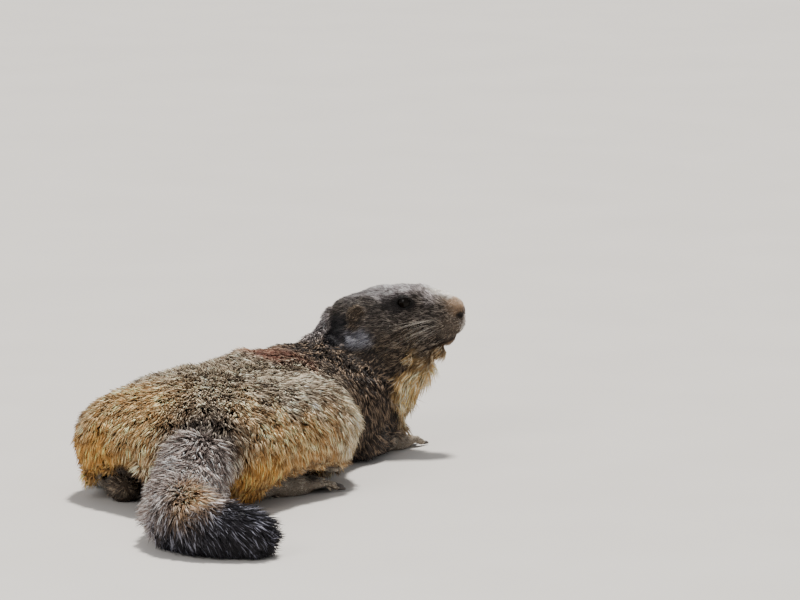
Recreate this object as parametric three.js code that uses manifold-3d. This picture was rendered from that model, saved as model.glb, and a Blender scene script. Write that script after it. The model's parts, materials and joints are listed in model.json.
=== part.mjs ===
import * as THREE from "three";
import { mergeVertices } from "three/addons/utils/BufferGeometryUtils.js";
import Module from "manifold-3d";

// An alpine marmot, life size, lying on its belly with the head raised and turned to its right.
// Millimetres. +X runs forward along the loins, +Y to the animal's left, +Z up. The floor is at z 0 and
// the origin lies on it, below the middle of the belly. The forms reach out to the tips of the coat.

const wasm = await Module();
wasm.setup();

const GAP = 0.3; // between two neighbouring nodes
const SIDES = { left: 1, right: -1 };
const UP = new THREE.Vector3(0, 0, 1);
const at = (x, y, z) => new THREE.Vector3(x, y, z);

// A place of its own on the animal: sizes forward, to the left and up from an origin, at a heading about
// +Z in degrees.
function frameAt(origin, heading) {
  const forward = at(1, 0, 0).applyAxisAngle(UP, THREE.MathUtils.degToRad(heading));
  const left = at(0, 0, 0).crossVectors(UP, forward);
  const on = (f, l, u) =>
    origin.clone().addScaledVector(forward, f).addScaledVector(left, l).addScaledVector(UP, u);
  return Object.assign(on, { forward, left, heading });
}

// Fields: each gives the distance from a point to a form, below zero inside it.

// An ellipsoid in a frame, its nose lifted by pitch and swung to its left by yaw, in degrees.
function ball(on, [f, l, u], radii, { yaw = 0, pitch = 0 } = {}) {
  const centre = on(f, l, u);
  const size = at(...radii);
  const euler = [0, -pitch, on.heading + yaw].map(THREE.MathUtils.degToRad);
  const turn = new THREE.Quaternion().setFromEuler(new THREE.Euler(...euler, "ZYX"));
  const back = turn.clone().invert();
  const p = at(0, 0, 0);
  const field = (point) => {
    p.copy(point).sub(centre).applyQuaternion(back).divide(size);
    const near = p.length();
    const slope = p.divide(size).length();
    return slope > 1e-9 ? (near * (near - 1)) / slope : -Math.min(...radii);
  };
  return Object.assign(field, { centre, size, turn });
}

// A rod with round ends, of one radius at each end.
function limb(from, fromRadius, to, toRadius) {
  const line = new THREE.Line3(from, to);
  const foot = at(0, 0, 0);
  return (point) => {
    const t = line.closestPointToPointParameter(point, true);
    line.at(t, foot);
    return foot.distanceTo(point) - THREE.MathUtils.lerp(fromRadius, toRadius, t);
  };
}

// Several forms in one, with a fillet of about the given size where they meet.
function blend(fillet, ...forms) {
  return (point) => {
    let least = Infinity;
    for (const form of forms) {
      const next = form(point);
      const shared = Math.max(fillet - Math.abs(least - next), 0);
      least = Math.min(least, next) - (shared * shared) / (4 * fillet);
    }
    return least;
  };
}

// A plane through a point; beyond it, on the side that its normal faces, is above zero.
function plane(through, ...normal) {
  const facing = at(...normal).normalize();
  const offset = facing.dot(through);
  return Object.assign((point) => facing.dot(point) - offset, { facing, offset });
}

// Solids

function solidOf(geometry) {
  const bare = new THREE.BufferGeometry();
  bare.setAttribute("position", geometry.getAttribute("position"));
  bare.setIndex(geometry.index);
  const merged = mergeVertices(bare, 1e-4);
  return new wasm.Manifold(
    new wasm.Mesh({
      numProp: 3,
      vertProperties: new Float32Array(merged.attributes.position.array),
      triVerts: new Uint32Array(merged.index.array),
    }),
  );
}

function geometryOf(solid) {
  const { vertProperties, triVerts } = solid.getMesh();
  const geometry = new THREE.BufferGeometry();
  geometry.setAttribute("position", new THREE.BufferAttribute(vertProperties, 3));
  geometry.setIndex(new THREE.BufferAttribute(triVerts, 1));
  geometry.computeVertexNormals();
  return geometry;
}

// The largest closed surface of a solid, with any hollow in it filled.
const largest = (solid) => solid.decompose().reduce((a, b) => (b.volume() > a.volume() ? b : a));
const onFloor = (solid) => solid.trimByPlane([0, 0, 1], 0);

// The part of a solid on the near side of a plane, and the part beyond it, half a gap from it each.
const before = (solid, cut) =>
  solid.trimByPlane(cut.facing.clone().negate().toArray(), GAP / 2 - cut.offset);
const beyond = (solid, cut) => solid.trimByPlane(cut.facing.toArray(), GAP / 2 + cut.offset);

// A ball's own solid, larger all round by grow.
function ellipsoid({ centre, size, turn }, { grow = 0, segments = 28 } = {}) {
  const shape = new THREE.SphereGeometry(1, segments, Math.round(segments * 0.65));
  const radii = size.clone().addScalar(grow);
  return solidOf(shape.applyMatrix4(new THREE.Matrix4().compose(centre, turn, radii)));
}

// A capsule drawn out along a path until its surface lies on a field. Its rows follow the path, and its
// round ends fan out from the path's ends. A section wider than it is high takes flat over 1, which
// spreads the rays evenly over it, and a path that climbs takes its sideways axis as across.
function drawn(field, points, { sides, rows, ends, flat = 1, across, reach = 150, step = 1.5 }) {
  const path = new THREE.CatmullRomCurve3(points, false, "centripetal");
  const shape = new THREE.CapsuleGeometry(1, 1, ends, sides, rows);
  const position = shape.getAttribute("position");
  const [start, tangent, side, top, ray, tip] = Array.from({ length: 6 }, () => at(0, 0, 0));
  for (let i = 0; i < position.count; i++) {
    const [x, y, z] = [position.getX(i), position.getY(i), position.getZ(i)];
    const along = THREE.MathUtils.clamp(y + 0.5, 0, 1);
    path.getPointAt(along, start);
    path.getTangentAt(along, tangent);
    if (across) side.copy(across);
    else side.crossVectors(tangent, UP).normalize();
    top.crossVectors(side, tangent).normalize();
    ray
      .set(0, 0, 0)
      .addScaledVector(side, x * flat)
      .addScaledVector(tangent, y - (along - 0.5))
      .addScaledVector(top, z)
      .normalize();
    const outside = (r) => field(tip.copy(start).addScaledVector(ray, r)) > 0;
    let far = step;
    while (far < reach && !outside(far)) far += step;
    let near = far - step;
    for (let halving = 0; halving < 12; halving++) {
      const middle = (near + far) / 2;
      if (outside(middle)) far = middle;
      else near = middle;
    }
    tip.copy(start).addScaledVector(ray, far);
    position.setXYZ(i, tip.x, tip.y, tip.z);
  }
  return solidOf(shape);
}

// A pointed blade along a curve: a cone bent to it, widest a third of the way up, its flat side to facing.
function blade(points, width, thick, facing, { sides = 4, rows = 3 } = {}) {
  const curve = new THREE.QuadraticBezierCurve3(...points);
  const shape = new THREE.ConeGeometry(0.5, 1, sides, rows);
  const position = shape.getAttribute("position");
  for (let i = 0; i < position.count; i++) {
    const t = position.getY(i) + 0.5;
    const tangent = curve.getTangent(t);
    const side = at(0, 0, 0).crossVectors(tangent, facing).normalize();
    const top = at(0, 0, 0).crossVectors(side, tangent);
    const full = 1 + 1.6 * t;
    const place = curve
      .getPoint(t)
      .addScaledVector(side, position.getX(i) * width * full)
      .addScaledVector(top, position.getZ(i) * thick * full);
    position.setXYZ(i, place.x, place.y, place.z);
  }
  return solidOf(shape);
}

// Finishes

const finish = (colour, roughness) =>
  new THREE.MeshStandardMaterial({ color: new THREE.Color(...colour), roughness, metalness: 0 });
const GREY_COAT = finish([0.2, 0.17, 0.14], 0.9);
const TAN_COAT = finish([0.42, 0.27, 0.13], 0.9);
const DARK_COAT = finish([0.09, 0.07, 0.06], 0.9);
const FACE_COAT = finish([0.16, 0.13, 0.11], 0.85);
const FOOT_COAT = finish([0.3, 0.26, 0.21], 0.85);
const CLAW_HORN = finish([0.03, 0.025, 0.02], 0.4);
const EYE_DARK = finish([0.01, 0.008, 0.006], 0.08);
const NOSE_SKIN = finish([0.13, 0.08, 0.06], 0.5);

const marmot = new THREE.Group();
function node(name, solid, material) {
  const mesh = new THREE.Mesh(geometryOf(largest(solid)), material);
  mesh.name = name;
  marmot.add(mesh);
}

// Frames: the loins' own at the origin, the shoulder girdle's and the head's, each turned further right.
const onLoins = frameAt(at(0, 0, 0), 0);
const onGirdle = frameAt(at(108, -80, 0), -45);
const onHead = frameAt(at(122, -139, 105), -100);

// Torso: one low dome from the rump to the shoulders that curves to the right
const rump = ball(onLoins, [-95, 0, 43], [71, 70, 46]);
const loins = ball(onLoins, [-35, -6, 38], [84, 90, 54]);
const ribs = ball(onLoins, [45, -43, 38], [76, 70, 53], { yaw: -25 });
const shoulders = ball(onGirdle, [-4, 0, 42], [48, 56, 45]);
const throat = ball(onHead, [5, -3, -40], [32, 23, 24]);
const bib = ball(onHead, [-15, -3, -74], [28, 26, 32]);

// Legs
const haunch = {
  left: ball(onLoins, [-74, 61, 42], [41, 34, 36], { yaw: 15 }),
  right: ball(onLoins, [-38, -74, 44], [62, 40, 38], { yaw: -22 }),
};
const upperArm = {};
for (const [name, side] of Object.entries(SIDES)) {
  upperArm[name] = ball(onGirdle, [-2, side * 46, 34], [25, 17, 32], { pitch: -25 });
}

// Neck and head
const neck = limb(onHead(-46, 0, -56), 33, onHead(-29, 0, -14), 25);
const skull = ball(onHead, [-12, 0, -6], [37, 27, 22], { pitch: 16 });
const forehead = limb(onHead(-6, 0, 1), 21, onHead(24, 0, 6), 18);
const muzzle = ball(onHead, [38, 0, 4], [20, 15, 14.5]);
const jaw = ball(onHead, [31, 0, -15], [22, 13, 13], { pitch: 12 });
const cheeks = [1, -1].map((s) => ball(onHead, [-4, s * 15, -10], [28, 15, 20], { pitch: 10 }));
const lips = [1, -1].map((s) => ball(onHead, [45, s * 6.5, -3], [11.5, 9.5, 11]));
const brows = [1, -1].map((s) => ball(onHead, [14, s * 15.5, 17.5], [12, 5, 4.5]));
const headField = blend(8, skull, forehead, muzzle, jaw, ...cheeks, ...lips, ...brows);

const bodyField = blend(
  16,
  blend(26, rump, loins, ribs, shoulders, throat, bib),
  haunch.left,
  haunch.right,
  upperArm.left,
  upperArm.right,
  blend(14, neck, headField),
);

// The body drawn in three lengths, cut across the base of the neck and below the head
const atNeckBase = plane(at(118, -112, 62), 0.1, -0.55, 0.83);
const atNape = plane(onHead(-47, 0, -2), ...onHead.forward.clone().multiplyScalar(0.56).setZ(0.83));
const SPARE = 22; // what is drawn past a cut before it is trimmed
const torsoField = (point) => Math.max(bodyField(point), atNeckBase(point) - SPARE);
const neckField = (point) =>
  Math.max(bodyField(point), -atNeckBase(point) - SPARE, atNape(point) - SPARE);
const headEndField = (point) => Math.max(bodyField(point), -atNape(point) - SPARE);
const torsoLine = [at(-116, 0, 42), at(-60, -2, 42), at(0, -16, 42), at(60, -44, 42), at(112, -100, 34)];
const neckLine = [at(116, -108, 46), onHead(-30, 0, -34), onHead(-20, 0, -14)];
const headLine = [onHead(-29, 0, -24), onHead(-10, 0, -9), onHead(34, 0, -4)];
const rightward = onHead.left.clone().negate();
const torso = before(
  drawn(torsoField, torsoLine, { sides: 32, rows: 20, ends: 4, flat: 1.6 }),
  atNeckBase,
);
const wholeNeck = drawn(neckField, neckLine, { sides: 26, rows: 6, ends: 4, across: rightward });
const neckLength = before(beyond(wholeNeck, atNeckBase), atNape);
const headLength = beyond(drawn(headEndField, headLine, { sides: 26, rows: 14, ends: 6 }), atNape);

// Feet: a heel, a flat sole, a fan of toes and a claw on each toe

// One toe, at its share of the way across the foot from -0.5 to 0.5. The middle toes are the longest.
// The toe ends in a small flat, and its claw starts a gap beyond that.
function toe(on, { length, width, sole }, share) {
  const radius = width * 0.135;
  const reach = length - width * 0.9 * share ** 2;
  const root = on(sole, share * width * 0.72, width * 0.24);
  const knuckle = on((sole + reach) / 2, share * width * 0.95, width * 0.28);
  const tip = on(reach - radius, share * width * 1.1, radius * 0.9);
  const form = blend(2, limb(root, radius, knuckle, radius), limb(knuckle, radius, tip, radius * 0.85));
  const ahead = tip.clone().sub(knuckle).normalize();
  const along = (distance) => tip.clone().addScaledVector(ahead, radius * 0.5 + distance);
  const clawLength = width * 0.36;
  const claw = blade(
    [along(-1), along(clawLength * 0.6).setZ(tip.z), along(clawLength).setZ(0.8)],
    radius * 0.85,
    radius,
    UP,
    { sides: 6, rows: 2 },
  );
  const flesh = drawn(form, [root, knuckle, tip], { sides: 6, rows: 2, ends: 2, step: 0.5 });
  const flat = plane(along(0), ...ahead);
  return { flesh: before(flesh, flat), claw: beyond(claw, flat) };
}

// A foot and its claws as nodes of their own. What it gives back is the room that they take up in the
// coat, a little larger than they are.
function foot(name, on, { length, width, sole, heel, toes }) {
  const heelAt = on(heel * 0.5, 0, heel * 0.46);
  const palmAt = on(sole - width * 0.2, 0, width * 0.22);
  const form = blend(
    8,
    limb(heelAt, heel * 0.5, palmAt, width * 0.28),
    ball(on, [sole - width * 0.1, 0, width * 0.2], [width * 0.6, width * 0.5, width * 0.3]),
  );
  const mesh = { sides: 10, rows: 4, ends: 2, step: 0.5 };
  const shares = Array.from({ length: toes }, (_, i) => i / (toes - 1) - 0.5);
  const made = shares.map((share) => toe(on, { length, width, sole }, share));
  const flesh = [drawn(form, [heelAt, palmAt], mesh), ...made.map((each) => each.flesh)];
  node(`${name}_foot`, onFloor(wasm.Manifold.union(flesh)), FOOT_COAT);
  made.forEach(({ claw }, i) => node(`${name}_claw_${i + 1}`, claw, CLAW_HORN));
  const toesAt = sole + width * 0.45;
  const toesRoom = [length - toesAt + width * 0.5, width * 0.92, width * 0.58];
  return drawn((point) => form(point) - 1.2, [heelAt, palmAt], mesh).add(
    ellipsoid(ball(on, [toesAt, 0, 0], toesRoom), { segments: 14 }),
  );
}

const HIND_FOOT = { length: 84, width: 27, sole: 50, heel: 22, toes: 5 };
const onHindFoot = {
  left: frameAt(at(-106, 55, 0), 8),
  right: frameAt(at(-92, -32, 0), -50),
};
const hindFootRooms = [
  foot("hind_left", onHindFoot.left, { ...HIND_FOOT, heel: 29 }),
  foot("hind_right", onHindFoot.right, HIND_FOOT),
];
// The coat arches clear of each hind foot on the side that faces back
const arches = [
  ball(onHindFoot.left, [12, 0, 0], [64, 22, 33]),
  ball(onHindFoot.right, [36, -12, 0], [58, 34, 23]),
];

const FOREFOOT = { length: 42, width: 22, sole: 20, heel: 16, toes: 4, heading: -30 };
const forearms = {};
const forefootRooms = {};
for (const [name, side] of Object.entries(SIDES)) {
  const elbow = onGirdle(0, side * 52, 18);
  const wrist = onGirdle(44, side * 35, 0);
  const bone = [elbow, wrist.clone().setZ(9)];
  forefootRooms[name] = foot(`fore_${name}`, frameAt(wrist, FOREFOOT.heading), FOREFOOT);
  forearms[name] = [0, GAP].map((grow) =>
    drawn(limb(bone[0], 16 + grow, bone[1], 9.5 + grow), bone, { sides: 10, rows: 2, ends: 2 }),
  );
}

// Tail: a core half as thick as the brush, and locks that lie back along it, laid on the floor with the
// last third curled to the right. Each row holds a place and the brush's radius there.
const TAIL = [
  [-128, 0, 52, 20],
  [-165, 0, 46, 22],
  [-205, 5, 31, 26],
  [-244, 9, 23, 27],
  [-276, 3, 22, 26],
  [-296, -19, 18, 22],
  [-302, -48, 14, 14],
];
const LOCK = { length: 0.21, width: 16, thick: 6, rows: 8, around: 7 };
const random = THREE.MathUtils.seededRandom;
random(7);
const tailPoints = TAIL.map(([x, y, z]) => at(x, y, z));
const tailPath = new THREE.CatmullRomCurve3(tailPoints, false, "centripetal");
const tailGirth = new THREE.SplineCurve(TAIL.map(([, , , radius], i) => new THREE.Vector2(i, radius)));

// A place in the brush: its share of the way along the tail, which may run past the end, its angle round
// it and its share of the way out to the tips. The floor pushes up what would lie lower.
function inBrush(share, angle, out) {
  const along = Math.min(share, 1);
  const past = (share - along) * tailPath.getLength();
  const tangent = tailPath.getTangentAt(along);
  const side = at(0, 0, 0).crossVectors(tangent, UP).normalize();
  const top = at(0, 0, 0).crossVectors(side, tangent);
  const radius = tailGirth.getPoint(along).y * Math.max(1 - past / 45, 0.2);
  const outward = side.multiplyScalar(Math.cos(angle)).addScaledVector(top, Math.sin(angle));
  const place = tailPath.getPointAt(along).addScaledVector(tangent, past);
  place.addScaledVector(outward, out * radius);
  return { place: place.setZ(Math.max(place.z, LOCK.thick * 0.3)), outward };
}

function tailCore(grow) {
  const rods = TAIL.slice(1).map(([, , , radius], i) =>
    limb(tailPoints[i], TAIL[i][3] * 0.5 + grow, tailPoints[i + 1], radius * 0.5 + grow),
  );
  return drawn(blend(10, ...rods), tailPoints, { sides: 8, rows: 12, ends: 2 });
}

function tailLocks() {
  const locks = [];
  for (let row = 0; row < LOCK.rows; row++) {
    const start = THREE.MathUtils.lerp(0.18, 0.86, row / (LOCK.rows - 1));
    for (let i = 0; i < LOCK.around; i++) {
      const angle = ((i + (row % 2) / 2) / LOCK.around) * 2 * Math.PI;
      const stray = random();
      const root = inBrush(start, angle, 0.3);
      const middle = inBrush(start + LOCK.length * 0.35, angle + 0.1, 1);
      const tip = inBrush(start + LOCK.length * (0.8 + 0.3 * stray), angle + 0.2, 1);
      const points = [root.place, middle.place, tip.place];
      const width = LOCK.width * (0.85 + 0.3 * random());
      locks.push(blade(points, width, LOCK.thick, middle.outward));
    }
  }
  return locks;
}
const tail = onFloor(wasm.Manifold.union([tailCore(0), ...tailLocks()]));
const tailCut = (share) => plane(tailPath.getPointAt(share), ...tailPath.getTangentAt(share));
const [atRoot, atMiddle, atEnd] = [0.1, 0.42, 0.72].map(tailCut);
const plug = beyond(tailCore(GAP), atRoot);

// The body parted: the upper legs out of the torso, then the torso across
const limbCuts = {
  hind_leg_left: ball(onLoins, [-80, 82, 40], [42, 36, 50], { yaw: 15 }),
  hind_leg_right: ball(onLoins, [-42, -94, 42], [60, 42, 50], { yaw: -22 }),
  upper_arm_left: ball(onGirdle, [-4, 62, 30], [32, 30, 44]),
  upper_arm_right: ball(onGirdle, [-4, -62, 30], [32, 30, 44]),
};
const atLoins = plane(at(-62, 0, 0), 1, 0, 0);
const atRibs = plane(at(66, -40, 0), 0.8, -0.6, 0);
const rooms = [
  ...arches.map((arch) => ellipsoid(arch, { segments: 14 })),
  ...hindFootRooms,
  ...Object.values(forefootRooms),
  ...Object.values(forearms).map(([, grown]) => grown),
  plug,
];
const bare = onFloor(torso).subtract(wasm.Manifold.union(rooms));
let middle = bare;
for (const [name, form] of Object.entries(limbCuts)) {
  const upper = bare.intersect(ellipsoid(form, { segments: 16 }));
  node(name, upper, name.startsWith("hind") ? TAN_COAT : DARK_COAT);
  middle = middle.subtract(ellipsoid(form, { grow: GAP, segments: 16 }));
}
node("rump", before(middle, atLoins), GREY_COAT);
node("loins", before(beyond(middle, atLoins), atRibs), GREY_COAT);
node("chest", beyond(middle, atRibs), DARK_COAT);
for (const name of Object.keys(SIDES)) {
  const foreleg = onFloor(forearms[name][0]).subtract(forefootRooms[name]);
  node(`forearm_${name}`, foreleg, DARK_COAT);
}
node("tail_base", before(beyond(tail, atRoot), atMiddle), GREY_COAT);
node("tail_middle", before(beyond(tail, atMiddle), atEnd), DARK_COAT);
node("tail_tip", beyond(tail, atEnd), DARK_COAT);

// Head: eyes under lids, cupped ears, a nose with nostrils and the mouth's slit
const EYE = { forward: 14, out: 16.6, up: 12.5, radius: 6 };
const eyeRadii = (radius) => [radius, radius, radius];
const eyes = {};
const ears = {};
const lids = [];
const carved = [];
for (const [name, side] of Object.entries(SIDES)) {
  const eyeAt = [EYE.forward, side * EYE.out, EYE.up];
  eyes[name] = ellipsoid(ball(onHead, eyeAt, eyeRadii(EYE.radius)), { segments: 12 });
  lids.push(ellipsoid(ball(onHead, eyeAt, [8.4, 7.1, 6.4]), { segments: 12 }));
  const opening = [EYE.forward + 0.3, side * (EYE.out + 6), EYE.up];
  carved.push(ellipsoid(ball(onHead, eyeAt, eyeRadii(EYE.radius + GAP)), { segments: 12 }));
  carved.push(ellipsoid(ball(onHead, opening, [6.8, 5, 3.3], { pitch: 8 }), { segments: 10 }));
  const turn = { yaw: -side * 28, pitch: 12 };
  const ear = ball(onHead, [-22, side * 25, 2.5], [7.6, 4.2, 9], turn);
  const cup = ball(onHead, [-20, side * 28.1, 3], [5.6, 3.4, 6.6], turn);
  ears[name] = ellipsoid(ear, { segments: 12 }).subtract(ellipsoid(cup, { segments: 10 }));
  carved.push(ellipsoid(ear, { grow: GAP, segments: 12 }));
}
const pad = ball(onHead, [52.4, 0, 4.4], [5.8, 6.4, 5.6]);
const nostrils = [1, -1].map((s) =>
  ellipsoid(ball(onHead, [56.4, s * 4.8, 3], [4.4, 1.8, 2.4], { yaw: s * 34 }), { segments: 8 }),
);
carved.push(ellipsoid(pad, { grow: GAP, segments: 14 }));

// The slit between the lips, from the tip of the muzzle back to the corner of the mouth
function mouth() {
  const lipLine = [[62, -12.5], [53, -13.5], [47, -17.5], [41, -20], [35, -22.5]];
  const curve = new THREE.SplineCurve(lipLine.map(([f, u]) => new THREE.Vector2(f, u)));
  const upper = curve.getPoints(6);
  const lower = upper.slice(0, -1).map(({ x, y }) => new THREE.Vector2(x, y - 1.2));
  const slit = new THREE.ExtrudeGeometry(new THREE.Shape([...upper, ...lower.reverse()]), {
    depth: 44,
    bevelEnabled: false,
  });
  const right = onHead.left.clone().negate();
  const turn = new THREE.Matrix4().makeBasis(onHead.forward, UP, right).setPosition(onHead(0, 22, 0));
  return solidOf(slit.applyMatrix4(turn));
}
const head = headLength
  .add(wasm.Manifold.union(lids))
  .subtract(wasm.Manifold.union([...carved, mouth()]));
node("neck", neckLength, DARK_COAT);
node("head", head, FACE_COAT);
node("nose", ellipsoid(pad, { segments: 14 }).subtract(wasm.Manifold.union(nostrils)), NOSE_SKIN);
for (const name of Object.keys(SIDES)) {
  node(`eye_${name}`, eyes[name], EYE_DARK);
  node(`ear_${name}`, ears[name], FACE_COAT);
}

export default marmot;
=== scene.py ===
"""Looks of a life-size alpine marmot lying on its belly, its head raised and turned to its right.

+X runs forward along the loins, +Y to the animal's left, +Z up, in metres. Sizes named in millimetres
are multiplied by MM where they are used.
"""

import json
import math

import bmesh
import bpy
import numpy as np
from mathutils import Matrix, Vector
from mathutils.kdtree import KDTree


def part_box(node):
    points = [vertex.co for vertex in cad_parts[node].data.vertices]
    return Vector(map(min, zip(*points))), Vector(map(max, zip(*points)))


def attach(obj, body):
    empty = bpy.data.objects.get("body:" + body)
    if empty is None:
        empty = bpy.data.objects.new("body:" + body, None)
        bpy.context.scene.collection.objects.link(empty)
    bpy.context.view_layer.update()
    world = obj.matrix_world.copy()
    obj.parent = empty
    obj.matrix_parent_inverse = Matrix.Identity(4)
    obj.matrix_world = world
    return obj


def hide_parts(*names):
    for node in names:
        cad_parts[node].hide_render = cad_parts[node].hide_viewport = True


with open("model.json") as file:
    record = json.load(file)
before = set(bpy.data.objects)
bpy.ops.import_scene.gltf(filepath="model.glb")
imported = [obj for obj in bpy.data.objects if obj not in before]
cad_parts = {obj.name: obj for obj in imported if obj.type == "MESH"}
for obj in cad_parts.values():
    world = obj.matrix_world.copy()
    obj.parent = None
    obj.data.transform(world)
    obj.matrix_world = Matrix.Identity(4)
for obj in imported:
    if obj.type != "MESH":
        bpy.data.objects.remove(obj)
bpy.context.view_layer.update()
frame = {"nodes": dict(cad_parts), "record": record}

MM = 0.001


# Hide: one skin without a seam over body, legs, feet, head and the core of the tail, about two
# millimetres thick in life and loose on the flesh. It is moulded on the solids of flesh, drawn in by the
# depth of the coat that grows on it, and pressed in along the line of the mouth.

# Places on the animal, in millimetres: the head and the shoulder girdle are each turned further to the
# right than the loins, and the tail runs back, down to the floor and round to the right.


def frame_at(origin, heading):
    """Gives places forward, to the left and up from an origin, at a heading about +Z in degrees."""
    turn = math.radians(heading)
    forward = np.array((math.cos(turn), math.sin(turn), 0))
    left = np.array((-math.sin(turn), math.cos(turn), 0))
    return lambda f, l, u: np.array(origin) + f * forward + l * left + np.array((0, 0, u))


HEAD_TURN = -100
on_head = frame_at((122, -139, 105), HEAD_TURN)
on_girdle = frame_at((108, -80, 0), -45)
on_left_foot = frame_at((-106, 55, 0), 8)
on_right_foot = frame_at((-92, -32, 0), -50)

# The tail's line as x, y, z and the brush's half thickness
TAIL = np.array([
    (-128, 0, 52, 20),
    (-165, 0, 46, 22),
    (-205, 5, 31, 26),
    (-244, 9, 23, 27),
    (-276, 3, 22, 26),
    (-296, -19, 18, 22),
    (-302, -48, 14, 14),
])


def smooth_path(points, count):
    """A curve through points in space, as count rows."""
    ends = np.vstack((2 * points[0] - points[1], points, 2 * points[-1] - points[-2]))
    rows = []
    for place in np.linspace(0, len(points) - 1 - 1e-6, count):
        i, t = int(place), place % 1
        a, b, c, d = ends[i : i + 4]
        bend = 2 * a - 5 * b + 4 * c - d + (3 * b - a - 3 * c + d) * t
        rows.append(b + (c - a + bend * t) * t / 2)
    return np.array(rows)


tail_path = smooth_path(TAIL, 40)

# Kinds of coat. Each has the colour of its roots, its tips and its pale tips, the share of pale ones,
# the tufts' length and width in millimetres, their lift off the skin in degrees, the depth in millimetres
# to which the coat's surface stands off the skin, and how close the tufts stand beside other kinds.
UNDER, TIP, PALE = slice(0, 3), slice(3, 6), slice(6, 9)
SHARE, LENGTH, LIFT, WIDTH, DEPTH, CLOSE = range(9, 15)


def coat(root, tip, pale, share, length, lift, width, depth, close):
    """A kind of coat as one row, in the order of the names above."""
    return np.array((*root, *tip, *pale, share, length, lift, width, depth, close))


GREY = coat(
    root=(0.034, 0.026, 0.020), tip=(0.20, 0.148, 0.102), pale=(0.90, 0.75, 0.56),
    share=0.52, length=12.5, lift=36, width=1.25, depth=8.2, close=0.56,
)
TAN = coat(
    root=(0.085, 0.050, 0.026), tip=(0.58, 0.33, 0.125), pale=(1.0, 0.74, 0.40),
    share=0.5, length=12.5, lift=36, width=1.35, depth=8.4, close=0.56,
)
ORANGE = coat(
    root=(0.075, 0.038, 0.015), tip=(0.64, 0.32, 0.075), pale=(0.98, 0.62, 0.22),
    share=0.3, length=12.5, lift=32, width=1.35, depth=8, close=0.56,
)
EDGE = coat(
    root=(0.060, 0.032, 0.015), tip=(0.50, 0.29, 0.12), pale=(0.84, 0.62, 0.36),
    share=0.35, length=8, lift=26, width=1.1, depth=6.5, close=0.8,
)
CREAM = coat(
    root=(0.22, 0.15, 0.08), tip=(0.80, 0.60, 0.33), pale=(1.0, 0.90, 0.66),
    share=0.65, length=14.5, lift=38, width=1.3, depth=8.6, close=0.6,
)
SABLE = coat(
    root=(0.012, 0.009, 0.008), tip=(0.072, 0.054, 0.044), pale=(0.46, 0.39, 0.31),
    share=0.25, length=12.5, lift=36, width=1.35, depth=8.2, close=0.56,
)
MAROON = coat(
    root=(0.026, 0.013, 0.010), tip=(0.20, 0.078, 0.048), pale=(0.44, 0.25, 0.165),
    share=0.35, length=11, lift=28, width=1.3, depth=6.4, close=0.56,
)
NECK = coat(
    root=(0.009, 0.007, 0.006), tip=(0.042, 0.030, 0.023), pale=(0.33, 0.235, 0.16),
    share=0.28, length=11.5, lift=24, width=1.2, depth=6, close=0.64,
)
# Cream and orange hair of the throat, its own colour, made brighter as painted light for the sun shining
# through the fine hair.
THROAT_AND_GLOW = coat(
    root=(0.26, 0.145, 0.06), tip=(0.86, 0.56, 0.24), pale=(1.0, 0.86, 0.56),
    share=0.42, length=17, lift=33, width=1.1, depth=9, close=0.68,
)
# Arches under the haunches, over the feet: the short hair keeps them open, and the dark colours are painted
# shade.
HOLLOW_SHADE = coat(
    root=(0.014, 0.010, 0.007), tip=(0.045, 0.030, 0.018), pale=(0.10, 0.065, 0.04),
    share=0.2, length=4, lift=14, width=0.9, depth=3, close=0.7,
)
# Hollow behind the left thigh: the skin is drawn in deep to make a real hollow, and the dark colours are
# painted shade in it.
GROIN_SHADE = coat(
    root=(0.020, 0.014, 0.009), tip=(0.085, 0.056, 0.032), pale=(0.30, 0.20, 0.11),
    share=0.25, length=8.5, lift=22, width=1.0, depth=14, close=0.8,
)
FACE = coat(
    root=(0.010, 0.008, 0.007), tip=(0.042, 0.033, 0.028), pale=(0.36, 0.305, 0.26),
    share=0.26, length=6, lift=15, width=0.8, depth=1.6, close=1.5,
)
CROWN = coat(
    root=(0.040, 0.034, 0.034), tip=(0.17, 0.142, 0.14), pale=(1.0, 0.92, 0.93),
    share=0.45, length=6.4, lift=18, width=0.8, depth=1.8, close=1.5,
)
BRIDGE = coat(
    root=(0.42, 0.37, 0.31), tip=(0.92, 0.87, 0.79), pale=(1.0, 0.98, 0.95),
    share=0.6, length=3.2, lift=12, width=0.5, depth=0.7, close=2.2,
)
SNOUT = coat(
    root=(0.10, 0.068, 0.044), tip=(0.23, 0.155, 0.10), pale=(0.46, 0.35, 0.26),
    share=0.35, length=2.5, lift=13, width=0.45, depth=0.5, close=2.5,
)
MASK = coat(
    root=(0.007, 0.006, 0.006), tip=(0.022, 0.018, 0.017), pale=(0.12, 0.10, 0.09),
    share=0.12, length=4.6, lift=13, width=0.55, depth=1.3, close=1.8,
)
# Painted shadow: near-black hair behind each ear, where the ear casts its shade on the side of the head.
EAR_SHADOW = coat(
    root=(0.004, 0.004, 0.005), tip=(0.013, 0.012, 0.015), pale=(0.08, 0.07, 0.085),
    share=0.1, length=7, lift=16, width=0.8, depth=2.6, close=1.4,
)
CHEEK = coat(
    root=(0.036, 0.035, 0.040), tip=(0.20, 0.198, 0.23), pale=(0.66, 0.66, 0.75),
    share=0.42, length=6.6, lift=16, width=0.8, depth=1.8, close=1.5,
)
JOWL = coat(
    root=(0.012, 0.009, 0.008), tip=(0.048, 0.034, 0.024), pale=(0.38, 0.29, 0.20),
    share=0.26, length=7, lift=17, width=0.85, depth=2.0, close=1.4,
)
LIP = coat(
    root=(0.16, 0.14, 0.125), tip=(0.46, 0.41, 0.37), pale=(0.95, 0.92, 0.88),
    share=0.45, length=2.8, lift=16, width=0.42, depth=0.5, close=2.5,
)
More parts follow.
